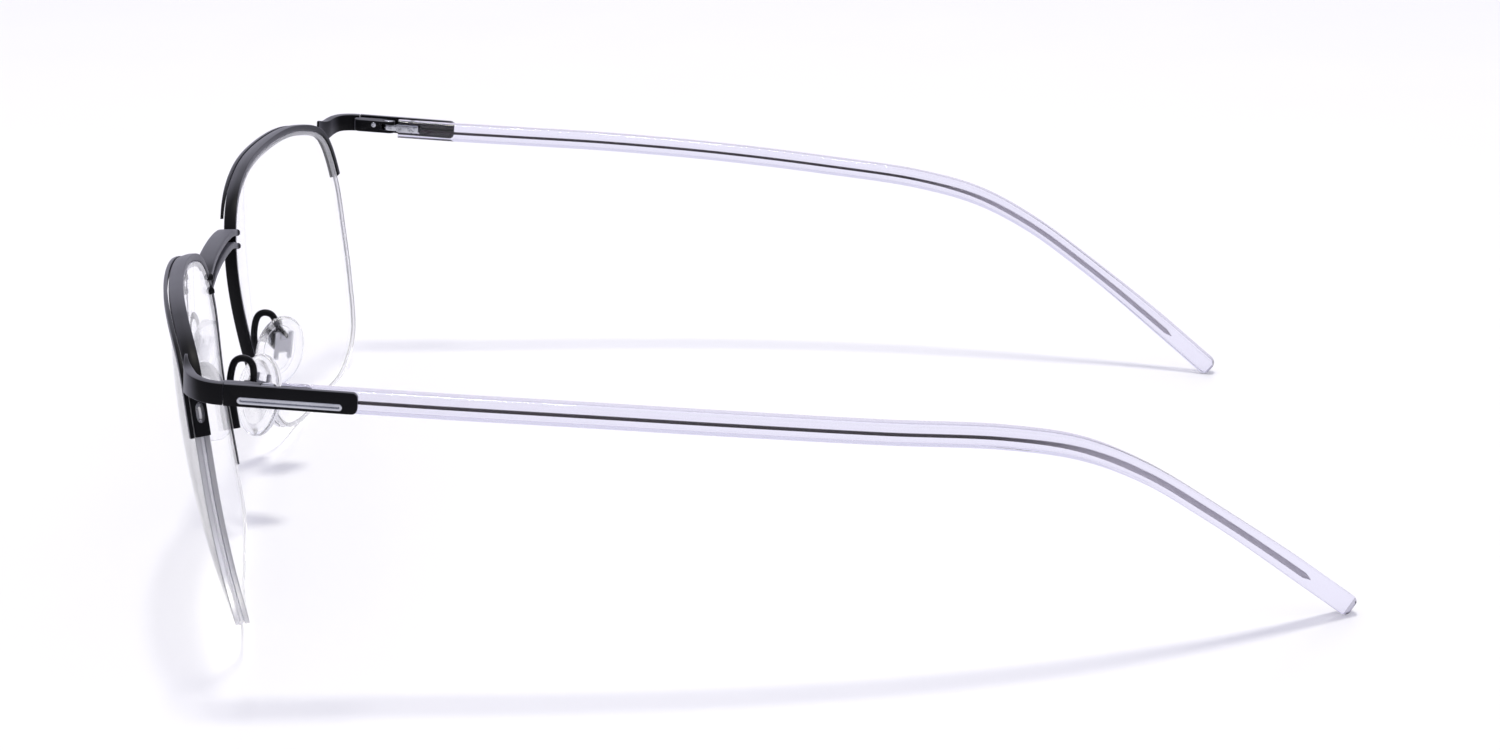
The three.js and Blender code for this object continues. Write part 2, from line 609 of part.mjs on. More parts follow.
// The arm is soldered up the back of the rim, loops over and comes down on the pad box.
function padArmGeometry() {
  const solder = (z) => atEdge(between(rising(z, 3 * QUARTER, 2 * QUARTER)), 0.55, -half - ARM_RADIUS - FIT);
  const boxTop = V3(STEM_AT[0], STEM_AT[1] + 1.1 + 2 * FIT, SCREW_AT - 0.3)
    .applyMatrix4(new THREE.Matrix4().makeBasis(padAcross, padUp, skin)).add(V3(...PAD_CENTRE));
  const [start, low, high] = [13.9, 16.5, 19.5].map(solder);
  const loopRadius = 1.4;
  const middle = V3(high.x - 0.4, high.y + 0.5 + loopRadius, 22.2);
  const loop = [165, 90, 15].map(degToRad).map((angle) =>
    middle.clone().add(V3(0, loopRadius * Math.cos(angle), loopRadius * Math.sin(angle))));
  const curve = new THREE.CatmullRomCurve3(
    [start, low, high, ...loop, boxTop.clone().addScaledVector(padUp, 0.5), boxTop], false, 'centripetal');
  return tube(curve, ARM_RADIUS, 26, 8);
}

// ---- assembly ----
const glasses = new THREE.Group();

function add(name, geometry, material, mirrored = false) {
  const mesh = new THREE.Mesh(geometry, material);
  mesh.name = name;
  if (mirrored) mesh.scale.x = -1;
  glasses.add(mesh);
}

add('bridge_upper_bar', bridgeBar({
  end: [12.2, -11.1, 35.4], crown: { y: 0.4, z: 1.2 }, depth: 2.5, thickness: 1,
}), blackMetal());
add('bridge_lower_bar', bridgeBar({
  end: [11.8, -10.6, 33.5], crown: { y: 0.1, z: 1.5 }, depth: 1.3, thickness: 0.9,
}), blackMetal());

const sidePieces = {
  rim: [rimGeometry(), blackMetal],
  brow_trim: [trimGeometry(), blackMetal],
  endpiece: [endpieceGeometry(), blackMetal],
  lens: [lensGeometry(), lensGlass],
  lens_cord: [cordGeometry(), nylon],
  rim_liner: [linerGeometry(), nylon],
  hinge_pin: [pinGeometry(), silver],
  pad_arm: [padArmGeometry(), blackMetal],
  pad_box: [padBoxGeometry(), blackMetal],
  pad_screw: [padScrewGeometry(), silver],
  nose_pad: [padGeometry(), silicone],
  pad_insert: [insertGeometry(), silver],
  hinge_tongue: [tongueGeometry(), silver],
  tongue_screw: [tongueScrewGeometry(), silver],
  sleeve_plate: [sleeveGeometry(), blackMetal],
  sleeve_inlay: [inlayGeometry(), silver],
  temple: [templeGeometry(), clearPlastic],
  temple_core: [placeAtHinge(coreSweep(0, CORE_START)), blackMetal],
};
for (const [piece, [geometry, material]] of Object.entries(sidePieces)) {
  add(`${piece}_left`, geometry, material());
  add(`${piece}_right`, geometry.clone(), material(), true);
}

// The origin is under the middle of the glasses.
const bounds = new THREE.Box3().setFromObject(glasses);
glasses.position.y = -(bounds.min.y + bounds.max.y) / 2;

export default glasses;
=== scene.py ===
# %% [markdown]
# Half rim eyeglasses. The real pair is a black metal front whose rims hold only the upper half of
# each lens; a nylon cord in the lens edge holds the lower half. The clear temples fold on small
# screwed hinges and have a thin wire core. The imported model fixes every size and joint, so this
# notebook only gives each part its finer shape and its finish.

# %% Load the frame
import json
import math

import bpy
from mathutils import Matrix, Vector


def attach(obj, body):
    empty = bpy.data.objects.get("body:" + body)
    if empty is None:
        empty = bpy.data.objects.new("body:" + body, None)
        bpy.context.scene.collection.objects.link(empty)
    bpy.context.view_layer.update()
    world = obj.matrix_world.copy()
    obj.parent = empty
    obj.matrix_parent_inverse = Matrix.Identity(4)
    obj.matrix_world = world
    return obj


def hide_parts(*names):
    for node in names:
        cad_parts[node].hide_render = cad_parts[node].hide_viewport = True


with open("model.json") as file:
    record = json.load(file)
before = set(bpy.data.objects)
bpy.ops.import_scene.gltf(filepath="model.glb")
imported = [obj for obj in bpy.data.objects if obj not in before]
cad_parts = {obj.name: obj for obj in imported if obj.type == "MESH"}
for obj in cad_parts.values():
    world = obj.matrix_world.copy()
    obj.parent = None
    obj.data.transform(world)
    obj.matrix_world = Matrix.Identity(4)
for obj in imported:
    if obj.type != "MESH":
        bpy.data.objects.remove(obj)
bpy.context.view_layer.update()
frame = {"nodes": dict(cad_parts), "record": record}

bpy.ops.object.select_all(action="DESELECT")

# %% [markdown]
# Lengths are written in millimetres, because that is how spectacles are measured, with the lenses
# near y = 0. The frame is in metres and centred on the whole pair, so one function converts.

# %% Units and the hinge's place
MM = 0.001
HINGE_SITE = next(joint["pos_m"] for joint in frame["record"]["behaviour"]["joints"]
                  if joint["name"] == "temple_left_fold")
HINGE = Vector((68.2, 6, 37.84))
SHIFT = Vector(HINGE_SITE) / MM - HINGE
DROOP = math.radians(5)


def metres(point):
    return (point + SHIFT) * MM


def at_hinge(x, y, z):
    """A point given from the left hinge pin: outward, back along the temple, up the pin."""
    return HINGE + Matrix.Rotation(-DROOP, 3, "X") @ Vector((x, y, z))


print("shift to the frame (mm):", [round(value, 3) for value in SHIFT])

# %% [markdown]
# The camera comes first, so every later step can be judged in the same view: low, from the
# wearer's left side, close enough for the near temple to run right across the picture.

# %% Camera
CAMERA_AZIMUTH = math.radians(88.78)
CAMERA_ELEVATION = math.radians(18.37)
CAMERA_ROLL = math.radians(-0.235)
CAMERA_PLACE = Vector((369.311, 55.883, 139.437))

back = Vector((math.sin(CAMERA_AZIMUTH) * math.cos(CAMERA_ELEVATION),
               -math.cos(CAMERA_AZIMUTH) * math.cos(CAMERA_ELEVATION),
               math.sin(CAMERA_ELEVATION)))
camera_data = bpy.data.cameras.new("view_camera")
camera_data.lens = 65.17
camera_data.sensor_width = 36
camera_data.clip_start = 0.01
camera = bpy.data.objects.new("view_camera", camera_data)
bpy.context.collection.objects.link(camera)
camera.rotation_mode = "QUATERNION"
turn = Matrix.Rotation(CAMERA_ROLL, 3, back) @ (-back).to_track_quat("-Z", "Y").to_matrix()
camera.rotation_quaternion = turn.to_quaternion()
camera.location = metres(CAMERA_PLACE)
bpy.context.scene.camera = camera
print("camera at", [round(value, 4) for value in camera.location])

# %% [markdown]
# Materials are written as small sums. A socket wrapped in Value adds a Math node for each
# operator, so a mask reads like arithmetic, and Recipe.node adds any other kind of node.

# %% Sockets as values
class Value:
    """An output socket that can be used in an expression."""

    def __init__(self, recipe, socket):
        self.recipe = recipe
        self.socket = socket

    def math(self, operation, *numbers):
        inputs = {place: number for place, number in enumerate(numbers)}
        return self.recipe.node("ShaderNodeMath", {"operation": operation}, inputs)

    def __add__(self, other):
        return self.math("ADD", self, other)

    def __mul__(self, other):
        return self.math("MULTIPLY", self, other)

    __radd__ = __add__
    __rmul__ = __mul__


class Recipe:
    """A material under construction."""

    def __init__(self, name):
        self.material = bpy.data.materials.new(name)
        self.material.use_nodes = True
        self.tree = self.material.node_tree
        self.tree.nodes.clear()

    def node(self, kind, settings=None, inputs=None, output=0):
        made = self.tree.nodes.new(kind)
        for key, setting in (settings or {}).items():
            if key == "stops":
                for element, (position, colour) in zip(made.color_ramp.elements, setting):
                    element.position = position
                    element.color = colour
            else:
                setattr(made, key, setting)
        for key, value in (inputs or {}).items():
            if isinstance(value, Value):
                self.tree.links.new(value.socket, made.inputs[key])
            else:
                made.inputs[key].default_value = value
        return Value(self, made.outputs[output])

    def place(self):
        return self.node("ShaderNodeTexCoord", output="Object")

    def noise(self, scale, detail=3, vector=None):
        return self.node("ShaderNodeTexNoise", {}, {
            "Vector": vector or self.place(), "Scale": scale, "Detail": detail})

    def stretched(self, across, along, up):
        """Object coordinates scaled unevenly, for marks that run one way."""
        return self.node("ShaderNodeMapping", {}, {
            "Vector": self.place(), "Scale": (across, along, up)})

    def tint(self, mask, low, high):
        """A colour between two, by a mask from 0 to 1."""
        return self.node("ShaderNodeValToRGB", {"stops": [(0, (*low, 1)), (1, (*high, 1))]}, {
            "Fac": mask}, output="Color")

    def bump(self, height, distance):
        return self.node("ShaderNodeBump", {}, {"Height": height, "Distance": distance})

    def finish(self, **inputs):
        named = {key.replace("_", " "): value for key, value in inputs.items()}
        surface = self.node("ShaderNodeBsdfPrincipled", {}, named)
        out = self.tree.nodes.new("ShaderNodeOutputMaterial")
        self.tree.links.new(surface.socket, out.inputs["Surface"])
        return self.material


print("material tools ready")

# %% [markdown]
# The frame metal has a satin black coating, nearly black face on. Towards the outline the base
# colour greys, a painted sheen for light skimming the fine grain of the coat, as on velvet: Layer
# Weight gives that slant to the base colour. Handling leaves patches that shine a little more.

# %% Satin black coating
recipe = Recipe("satin_black_coating")
patches = recipe.noise(260, 2)
grain = recipe.noise(5200, 2)
slant = recipe.node("ShaderNodeLayerWeight", {}, {"Blend": 0.5}, output="Facing")
# painted sheen: the base colour greys towards the outline
painted_sheen = recipe.node("ShaderNodeMapRange", {"interpolation_type": "SMOOTHSTEP"}, {
    "Value": slant, "From Min": 0.3, "From Max": 0.95})
black_metal = recipe.finish(
    Base_Color=recipe.tint(painted_sheen + patches * 0.02, (0.004, 0.004, 0.005), (0.14, 0.14, 0.165)),
    Metallic=0.0, Roughness=0.34 + patches * 0.14 + grain * 0.06, Specular_IOR_Level=0.08,
    Normal=recipe.bump(grain, 0.000004))
print("made", black_metal.name)

# %% [markdown]
# Hinge leaves, screws, rivets and inlays are bare steel, polished on a wheel. The wheel leaves fine
# marks that all run along the piece, so the noise that drives roughness and bump is stretched.

# %% Polished steel, and the duller steel of the pad plates
def steel(name, low, high, roughness, marks):
    recipe = Recipe(name)
    strokes = recipe.noise(1, 3, recipe.stretched(*marks))
    clouds = recipe.noise(420, 2)
    return recipe.finish(
        Base_Color=recipe.tint(clouds, low, high), Metallic=1.0,
        Roughness=roughness + strokes * 0.12, Normal=recipe.bump(strokes, 0.000003))


polished_steel = steel(
    "polished_steel", low=(0.42, 0.43, 0.47), high=(0.6, 0.61, 0.65), roughness=0.12,
    marks=(4000, 300, 6000))
pad_plate_steel = steel(
    "pad_plate_steel", low=(0.4, 0.4, 0.44), high=(0.55, 0.55, 0.59), roughness=0.3,
    marks=(3000, 3000, 500))
print("made", polished_steel.name, pad_plate_steel.name)

# %% [markdown]
# The core wires are the same steel seen through the acetate. Their colour is painted light: nearly
# black along the straight, and grey behind the ear, where the flat of the wire turns to the light.

# %% Core wire
recipe = Recipe("core_wire_steel")
strokes = recipe.noise(1, 3, recipe.stretched(3000, 150, 3000))
distance_back = recipe.node("ShaderNodeSeparateXYZ", {}, {"Vector": recipe.place()}, output="Y")
# painted light: dark along the straight, grey behind the ear
painted_light_mask = recipe.node("ShaderNodeMapRange", {"interpolation_type": "SMOOTHSTEP"}, {
    "Value": distance_back, "From Min": 0.026, "From Max": 0.046})
core_steel = recipe.finish(
    Base_Color=recipe.tint(painted_light_mask, (0.02, 0.01, 0.018), (0.66, 0.63, 0.68)),
    Metallic=0.3, Roughness=0.34 + strokes * 0.14, Normal=recipe.bump(strokes, 0.000003))
print("made", core_steel.name)

# %% [markdown]
# The clear finishes differ in their clearness. The lenses are hard-coated and perfectly smooth, but
# their ground edges are frosted. The acetate of the temples is tumbled: glossy, very slightly wavy
# and tinted a little lavender. Every clear finish darkens towards its outline, a painted shade, and
# the temple tip's end is a darker copy of the acetate, a painted shade where light is turned away.
# The silicone of the pads is soft and cloudy, and the nylon cord has a satin skin.

# %% Clear finishes
def clear(name, face_on, painted_outline_colour, index, roughness, wave_scale, wave_depth, **extra):
    recipe = Recipe(name)
    waves = recipe.noise(wave_scale, 2)
    smears = recipe.noise(90, 2)
    slant = recipe.node("ShaderNodeLayerWeight", {}, {"Blend": 0.5}, output="Facing")
    # painted shade: the colour darkens towards the outline
    painted_outline_shade = recipe.node("ShaderNodeMapRange", {}, {
        "Value": slant, "From Min": 0.6, "From Max": 0.95})
    return recipe.finish(
        Base_Color=recipe.tint(painted_outline_shade, face_on, painted_outline_colour),
        Roughness=roughness * 0.6 + smears * (roughness * 0.8), IOR=index,
        Normal=recipe.bump(waves, wave_depth), **{"Transmission_Weight": 1.0, **extra})


lens_coat = clear(
    "hard_coated_lens", face_on=(0.995, 0.995, 1.0), painted_outline_colour=(0.96, 0.96, 0.99),
    index=1.5, roughness=0.004, wave_scale=40, wave_depth=0.0000002)
ground_edge = clear(
    "ground_lens_edge", face_on=(0.93, 0.93, 0.97), painted_outline_colour=(0.8, 0.8, 0.88),
    index=1.5, roughness=0.25, wave_scale=2000, wave_depth=0.000006, Transmission_Weight=0.6)
clear_acetate = clear(
    "tumbled_clear_acetate", face_on=(0.81, 0.80, 0.895), painted_outline_colour=(0.3, 0.22, 0.33),
    index=1.47, roughness=0.01, wave_scale=60, wave_depth=0.0000008)
# painted shade: a darker copy of the acetate for the tip's end face
painted_shade_end = clear(
    "temple_end_painted_shade", face_on=(0.35, 0.34, 0.4), painted_outline_colour=(0.03, 0.03, 0.04),
    index=1.47, roughness=0.05, wave_scale=160, wave_depth=0.000003)
pad_silicone = clear(
    "pad_silicone", face_on=(0.97, 0.97, 0.985), painted_outline_colour=(0.5, 0.5, 0.56),
    index=1.33, roughness=0.1, wave_scale=900, wave_depth=0.000003, Alpha=0.7)
cord_nylon = clear(
    "cord_nylon", face_on=(0.95, 0.95, 0.97), painted_outline_colour=(0.85, 0.85, 0.9),
    index=1.5, roughness=0.25, wave_scale=2500, wave_depth=0.000003, Transmission_Weight=0.4)
print("made", lens_coat.name, clear_acetate.name, pad_silicone.name, cord_nylon.name)

# %% [markdown]
# A few helpers do by script what a maker does by hand: pick a piece, run an operator on it, apply
# a modifier, and set smooth shading wherever the surface doesn't turn sharply.

# %% Bench tools
def pick(piece):
    bpy.ops.object.select_all(action="DESELECT")
    piece.select_set(True)
    bpy.context.view_layer.objects.active = piece


def edit(piece, select, *operators):
    """Selects the vertices that a test accepts, then runs edit operators on them."""
    pick(piece)
    for part in (piece.data.vertices, piece.data.edges, piece.data.polygons):
        part.foreach_set("select", [False] * len(part))
    for vertex in piece.data.vertices:
        vertex.select = select(vertex.co / MM)
    bpy.ops.object.mode_set(mode="EDIT")
    bpy.ops.mesh.select_mode(type="VERT")
    for operator in operators:
        operator()
    bpy.ops.object.mode_set(mode="OBJECT")


def everything(_):
    return True


def face_out(piece):
    edit(piece, everything, lambda: bpy.ops.mesh.normals_make_consistent(inside=False))


def modifier(piece, kind, **settings):
    pick(piece)
    added = piece.modifiers.new(kind.lower(), kind)
    for key, value in settings.items():
        setattr(added, key, value)
    bpy.ops.object.modifier_apply(modifier=added.name)


def soften(piece, width, segments=3, angle=30):
    """Rounds the edges that turn by more than an angle."""
    modifier(piece, "BEVEL", width=width * MM, segments=segments, limit_method="ANGLE",
             angle_limit=math.radians(angle), use_clamp_overlap=True)


def smooth(piece, angle=35):
    pick(piece)
    bpy.ops.object.shade_smooth_by_angle(angle=math.radians(angle))


def cut(piece, *tools):
    for tool in tools:
        modifier(piece, "BOOLEAN", operation="DIFFERENCE", solver="EXACT", object=tool)
        bpy.data.objects.remove(tool)


def join(piece, *others):
    pick(piece)
    for other in others:
        other.select_set(True)
    bpy.ops.object.join()
    return piece


print("bench tools ready")

# %% [markdown]
# Primitives are made about the origin in millimetres, shaped there, and only then carried to
# their place, so every selection can be written in the piece's own simple coordinates.

# %% Blocks and cylinders about the origin
def settle(piece, name):
    piece.name = piece.data.name = name
    pick(piece)
    bpy.ops.object.transform_apply(location=True, rotation=True, scale=True)
    return piece


def block(name, low, high):
    middle = [(a + b) / 2 * MM for a, b in zip(low, high)]
    bpy.ops.mesh.primitive_cube_add(size=1, location=middle)
    piece = bpy.context.object
    piece.scale = [(b - a) * MM for a, b in zip(low, high)]
    return settle(piece, name)


def cylinder(name, radius, low, high, axis="Z", sides=48):
    turns = {"X": (0, math.pi / 2, 0), "Y": (math.pi / 2, 0, 0), "Z": (0, 0, 0)}
    middle = Vector([(low + high) / 2 * MM * (letter == axis) for letter in "XYZ"])
    bpy.ops.mesh.primitive_cylinder_add(
        vertices=sides, radius=radius * MM, depth=(high - low) * MM, location=middle,
        rotation=turns[axis])
    return settle(bpy.context.object, name)


def slide(piece, x=0, y=0, z=0):
    edit(piece, everything, lambda: bpy.ops.transform.translate(value=(x * MM, y * MM, z * MM)))
    return piece


def stretch_along_y(piece, length):
    """Pulls the rear half of a cylinder back, which turns its round plan into a long one."""
    edit(piece, lambda at: at.y > 1e-4,
         lambda: bpy.ops.transform.translate(value=(0, length * MM, 0)))
    return piece


def carry(piece, matrix, origin):
    """Takes a finished piece from the origin to its place on the glasses."""
    piece.matrix_world = Matrix.Translation(metres(origin)) @ matrix.to_4x4()
    return settle(piece, piece.name)


def carry_to_hinge(piece):
    return carry(piece, Matrix.Rotation(-DROOP, 3, "X"), HINGE)


print("primitives ready")

# %% [markdown]
# The two sides mirror each other, so each side piece is modelled once, on the wearer's left, and
# its mirror image is a copy with its own mesh. Turning a mesh inside out is the usual trap of a
# negative scale, so the copy's normals are worked out again.

# %% Copying a piece to the right side
FRONT = {"left": "front", "right": "front"}
TEMPLE = {"left": "temple_left", "right": "temple_right"}
PAD = {"left": "pad_left", "right": "pad_right"}


def dress(piece, body, material, nodes):
    piece.data.materials.clear()
    piece.data.materials.append(material)
    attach(piece, body)
    if nodes:
        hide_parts(*nodes)


def both_sides(left, bodies, material, node=None):
    stem = left.name
    pick(left)
    bpy.ops.object.duplicate()
    right = bpy.context.object
    right.scale.x = -1
    settle(right, f"{stem}_right")
    face_out(right)
    left.name = left.data.name = f"{stem}_left"
    for side, piece in (("left", left), ("right", right)):
        dress(piece, bodies[side], material, [f"{node}_{side}"] if node else [])
    print(stem, "faces:", len(left.data.polygons))


# %% [markdown]
# Rims, lenses, cords, bars and temples all follow a curve with a changing section. In the shop
# they are bent and milled along a template. Here a loft does the same: rings of points along the
# curve, joined by strips, with a cap on each end. Primitives can't follow the lens edge closely.

# %% Curves and lofts
def centripetal(before, start, end, after, steps):
    """A stretch of smooth curve that passes through its control points without overshooting."""
    first, middle, last = (max((b - a).length, 1e-6) ** 0.5
                           for a, b in ((before, start), (start, end), (end, after)))
    leave = ((start - before) / first - (end - before) / (first + middle)
             + (end - start) / middle) * middle
    arrive = ((end - start) / middle - (after - start) / (middle + last)
              + (after - end) / last) * middle
    for step in range(steps):
        t = step / steps
        yield (start * (2 * t**3 - 3 * t**2 + 1) + leave * (t**3 - 2 * t**2 + t)
               + end * (3 * t**2 - 2 * t**3) + arrive * (t**3 - t**2))


def curve_through(points, closed=False, steps=40):
    points = [Vector(point) for point in points]
    if closed:
        padded = [points[-1], *points, points[0], points[1]]
    else:
        padded = [points[0] * 2 - points[1], *points, points[-1] * 2 - points[-2]]
    made = [place for i in range(len(padded) - 3)
            for place in centripetal(*padded[i:i + 4], steps)]
    return made if closed else [*made, points[-1]]


class Path:
    """A curve that can be asked for its place and direction at any distance along it."""

    def __init__(self, points, closed=False):
        self.points = [*points, points[0]] if closed else points
        self.reached = [0.0]
        for a, b in zip(self.points, self.points[1:]):
            self.reached.append(self.reached[-1] + (b - a).length)
        self.length = self.reached[-1]
        self.closed = closed

    def at(self, distance):
        if self.closed:
            distance %= self.length
        distance = min(max(distance, 0.0), self.length)
        low, high = 0, len(self.reached) - 1
        while high - low > 1:
            middle = (low + high) // 2
            low, high = (middle, high) if self.reached[middle] <= distance else (low, middle)
        share = (distance - self.reached[low]) / (self.reached[high] - self.reached[low])
        return self.points[low].lerp(self.points[high], share)

    def along(self, distance, reach=0.05):
        return (self.at(distance + reach) - self.at(distance - reach)).normalized()


def loft(name, rings, closed=False):
    count = len(rings[0])
    corners = [metres(point) for ring in rings for point in ring]
    strips = range(len(rings) if closed else len(rings) - 1)
    faces = []
    for ring in strips:
        following = (ring + 1) % len(rings)
        for i in range(count):
            j = (i + 1) % count
            faces.append((ring * count + i, ring * count + j,
                          following * count + j, following * count + i))
    if not closed:
        faces.append(tuple(range(count))[::-1])
        faces.append(tuple(range(len(corners) - count, len(corners))))
    mesh = bpy.data.meshes.new(name)
    mesh.from_pydata(corners, [], faces)
    piece = bpy.data.objects.new(name, mesh)
    bpy.context.collection.objects.link(piece)
    face_out(piece)
    return piece


def rounded(corners, radius, points=4):
    """A flat outline with each corner replaced by an arc."""
    outline = []
    for i, corner in enumerate(corners):
        here = Vector(corner)
        before = Vector(corners[i - 1]) - here
        after = Vector(corners[(i + 1) % len(corners)]) - here
        reach = min(radius, before.length * 0.45, after.length * 0.45)
        start, end = here + before.normalized() * reach, here + after.normalized() * reach
        for step in range(points):
            t = step / (points - 1)
            outline.append(tuple(start * (1 - t)**2 + here * 2 * t * (1 - t) + end * t**2))
    return outline


def bar_section(width, height, radius, points=5):
    half_width, half_height = width / 2, height / 2
    return rounded([(half_width, half_height), (-half_width, half_height),
                    (-half_width, -half_height), (half_width, -half_height)], radius, points)


def spread(low, high, size):
    count = max(1, round((high - low) / size))
    return [low + (high - low) * i / count for i in range(count + 1)]


def wire(name, points, radius, sides):
    """A round wire along a smooth run of points, made as a curve with a bevel."""
    data = bpy.data.curves.new(name, "CURVE")
    data.dimensions = "3D"
    data.bevel_depth = radius * MM
    data.bevel_resolution = sides // 4
    data.use_fill_caps = True
    line = data.splines.new("POLY")
    line.points.add(len(points) - 1)
    for place, point in zip(line.points, points):
        place.co = (*metres(point), 1)
    piece = bpy.data.objects.new(name, data)
    bpy.context.collection.objects.link(piece)
    pick(piece)
    bpy.ops.object.convert(target="MESH")
    piece = bpy.context.object
    edit(piece, everything, lambda: bpy.ops.mesh.remove_doubles(threshold=1e-7),
         lambda: bpy.ops.mesh.normals_make_consistent(inside=False))
    smooth(piece, 50)
    return piece


print("curve tools ready")

# %% [markdown]
# Each lens has axes of its own: across towards the temple, up, and front. It turns back a few
# degrees towards the temple and leans forward at the top, and both of its faces lie on large
# spheres. The rim, trim, cord and pad arm are all placed from these axes.

# %% The left lens's axes and outline
WRAP = math.radians(11)
TILT = math.radians(7.3)
LENS_RADIUS = 121
LENS_HALF = 0.9
OUTLINE = [
    (22.3, 1), (21.9, 10), (18.2, 17.4), (9, 20.7), (-4.5, 21.5), (-18, 20.4), (-27.3, 16.9),
    (-31.2, 10), (-29.6, -1), (-26.6, -10.8), (-22, -17.5), (-13, -20.3), (-1, -20.5),
    (10, -19.7), (17.6, -15.3), (21, -7.5)]
STATIONS = 72

level = Vector((math.sin(WRAP), -math.cos(WRAP), 0))
lens_across = Vector((math.cos(WRAP), math.sin(WRAP), 0))
lens_front = level * math.cos(TILT) - Vector((0, 0, math.sin(TILT)))
lens_up = level * math.sin(TILT) + Vector((0, 0, math.cos(TILT)))
lens_apex = Vector((41.7, -8.2, 20.2))
outline = Path(curve_through([(u, v, 0) for u, v in OUTLINE], closed=True), closed=True)


def on_lens(u, v, front):
    sag = LENS_RADIUS - math.sqrt(LENS_RADIUS**2 - u * u - v * v)
    return lens_apex + lens_across * u + lens_up * v + lens_front * (front - sag)


def edge(station, out=0.0, front=0.0):
    """A point beside the lens edge; stations count round it from the temple over the brow."""
    distance = station / STATIONS * outline.length
    here, along = outline.at(distance), outline.along(distance, 0.4)
    return on_lens(here.x + along.y * out, here.y - along.x * out, front)


lens_apex.z -= min(edge(i, 0, side * LENS_HALF).z for i in range(STATIONS) for side in (-1, 1))
print("lens outline (mm):", round(outline.length, 2), "apex height:", round(lens_apex.z, 2))

# %% [markdown]
# Three heights say where the rim and its front trim end. Each is turned into a station by
# walking along the edge until it rises past that height.

# %% Where the rim begins and ends
RIM_OUTER_HEIGHT = 30.7
RIM_NOSE_HEIGHT = 9.4
TRIM_END_HEIGHT = 36.8


def rising(height, start, stop):
    step = 0.02 if stop > start else -0.02
    station = start
    while edge(station).z < height:
        station += step
    return station


QUARTER = STATIONS / 4
RIM_START = rising(RIM_OUTER_HEIGHT, -QUARTER, QUARTER)
RIM_END = rising(RIM_NOSE_HEIGHT, 3 * QUARTER, QUARTER)
TRIM_END = rising(TRIM_END_HEIGHT, 3 * QUARTER, QUARTER)
STATION_LENGTH = outline.length / STATIONS
print("rim from", round(RIM_START, 2), "to", round(RIM_END, 2), "trim to", round(TRIM_END, 2))

# %% [markdown]
# A lens is cut from a round blank: two spherical faces, then an edge ground to the outline, with
# a groove for the cord and a fine polished bevel on each side. Rings of points shrinking towards
# the middle give both faces an even, ripple-free curve, which matters because they mirror lights.
# Real lenses let the lamp through to the table, so their pieces throw no shadow of their own.

# %% Lenses
LENS_SAFETY = 0.13
GROOVE_DEPTH = 0.5
GROOVE_HALF = 0.32
lens_steps = spread(0, STATIONS, 0.25)[:-1]


def lens_face(share, front):
    flat = [outline.at(i / STATIONS * outline.length) * share for i in lens_steps]
    return [on_lens(point.x, point.y, front) for point in flat]


def lens_edge(out, front):
    return [edge(i, out, front) for i in lens_steps]


shares = [0.02, 0.12, 0.25, 0.4, 0.55, 0.7, 0.82, 0.91, 0.96]
edge_profile = [
    (-LENS_SAFETY, LENS_HALF), (0, LENS_HALF - LENS_SAFETY), (0, GROOVE_HALF),
    (-GROOVE_DEPTH, GROOVE_HALF * 0.7), (-GROOVE_DEPTH, -GROOVE_HALF * 0.7), (0, -GROOVE_HALF),
    (0, LENS_SAFETY - LENS_HALF), (-LENS_SAFETY, -LENS_HALF)]
lens_rings = [lens_face(share, LENS_HALF) for share in shares]
lens_rings += [lens_edge(*pair) for pair in edge_profile]
lens_rings += [lens_face(share, -LENS_HALF) for share in reversed(shares)]
lens = loft("clear_lens", lens_rings)
smooth(lens, 25)
first_ground = len(shares) * len(lens_steps)
after_ground = first_ground + (len(edge_profile) - 1) * len(lens_steps)
both_sides(lens, FRONT, lens_coat, "lens")
for side in ("left", "right"):
    shown = bpy.data.objects[f"clear_lens_{side}"]
    shown.visible_shadow = False
    shown.data.materials.append(ground_edge)
    for face in shown.data.polygons:
        face.material_index = int(first_ground <= face.index < after_ground)

# %% [markdown]
# The rim is a drawn strip bent round the upper half of the lens. Its outer face is slightly
# crowned. At both ends a round-ended slot is punched through for the cord.

# %% Rims
RIM_THICKNESS = 1.0
RIM_HALF = 0.925
CLEARANCE = 0.08
EYELET_SPAN = 2.4 / STATION_LENGTH
OUTER_EYELET = RIM_START + 0.7 + EYELET_SPAN / 2
NOSE_EYELET = RIM_END - 0.7 - EYELET_SPAN / 2
rim_outline = rounded([
    (CLEARANCE, -RIM_HALF), (RIM_THICKNESS - 0.03, -RIM_HALF), (RIM_THICKNESS + 0.1, 0),
    (RIM_THICKNESS - 0.03, RIM_HALF), (CLEARANCE, RIM_HALF)], 0.22)


def follow(name, start, end, section, size=0.25):
    rings = [[edge(i, out, front) for out, front in section(i)] for i in spread(start, end, size)]
    return loft(name, rings)


def eyelet(station):
    def section(i):
        reach = min(abs(i - station) / (EYELET_SPAN / 2), 0.995)
        width = 0.5 * math.sqrt(1 - reach**3)
        return [(-1, -width), (2, -width), (2, width), (-1, width)]
    return follow("eyelet", station - EYELET_SPAN / 2, station + EYELET_SPAN / 2, section, 0.05)


rim = follow("brow_rim", RIM_START, RIM_END, lambda i: rim_outline)
soften(rim, 0.16, 3, 60)
cut(rim, eyelet(OUTER_EYELET), eyelet(NOSE_EYELET))
smooth(rim, 30)
both_sides(rim, FRONT, black_metal, "rim")

# %% [markdown]
# A second, thinner strip runs in front of the brow with a dark line between the two. It starts
# level with the rim's outer end and thins to a point just above the bridge.

# %% Front trims
TRIM_BACK = RIM_HALF + 0.14
TRIM_DEPTH = 0.5


